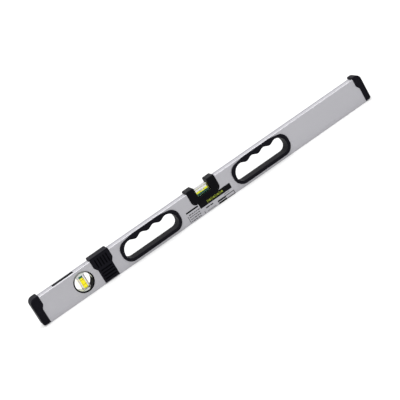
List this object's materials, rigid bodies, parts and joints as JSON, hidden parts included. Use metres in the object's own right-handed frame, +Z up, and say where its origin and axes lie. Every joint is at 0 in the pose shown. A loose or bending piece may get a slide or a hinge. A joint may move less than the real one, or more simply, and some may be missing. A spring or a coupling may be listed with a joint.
{
  "type": "magnetic spirit level",
  "caption": "Box-section aluminium spirit level with rubber end caps and saddle, finger-groove hand holes, a block vial in the top edge, a round plumb vial and flush bar magnets.",
  "frame": {"origin": "centre of the bottom working face, halfway along the level and halfway through its thickness", "axes": "+X along the level towards the end without the plumb vial, +Y through the thickness towards the rear face, +Z up from the working face to the edge with the centre vial"},
  "size_m": [0.8, 0.0262, 0.0596],
  "materials": {
    "aluminium": "satin anodised",
    "trim_rubber": "matte moulded",
    "housing_plastic": "matte moulded",
    "plug_plastic": "matte",
    "clear_block": "clear polished acrylic",
    "vial_liquid": "clear yellow-green liquid",
    "bubble": "clear",
    "marker_black": "printed black",
    "magnet_black": "black coated",
    "screw_steel": "blackened"
  },
  "bodies": {
    "level": {"beam": "aluminium", "left_end_cap": "trim_rubber", "right_end_cap": "trim_rubber", "left_cap_plug": "plug_plastic", "right_cap_plug": "plug_plastic", "rubber_saddle": "trim_rubber", "left_grip_front": "trim_rubber", "left_grip_rear": "trim_rubber", "right_grip_front": "trim_rubber", "right_grip_rear": "trim_rubber", "centre_vial_housing": "housing_plastic", "centre_vial_block": "clear_block", "centre_vial_liquid": "vial_liquid", "centre_vial_rings": "marker_black", "centre_vial_plug": "clear_block", "plumb_bezel_front": "housing_plastic", "plumb_bezel_rear": "housing_plastic", "plumb_vial_block": "clear_block", "plumb_vial_liquid": "vial_liquid", "plumb_vial_rings": "marker_black", "plumb_vial_plug": "clear_block", "top_magnet": "magnet_black", "base_magnets": "magnet_black", "top_set_screw": "screw_steel"},
    "centre_bubble": {"centre_vial_bubble": "bubble"},
    "plumb_bubble": {"plumb_vial_bubble": "bubble"}
  },
  "joints": [
    {"name": "centre_bubble_slide", "type": "slide", "parent": "level", "child": "centre_bubble", "axis": [1, 0, 0], "range_m": [-0.008, 0.008], "stiffness_N_per_m": 0.5},
    {"name": "plumb_bubble_slide", "type": "slide", "parent": "level", "child": "plumb_bubble", "axis": [0, 0, 1], "range_m": [-0.0162, 0], "stiffness_N_per_m": 0.5, "springref_m": 0.004}
  ]
}
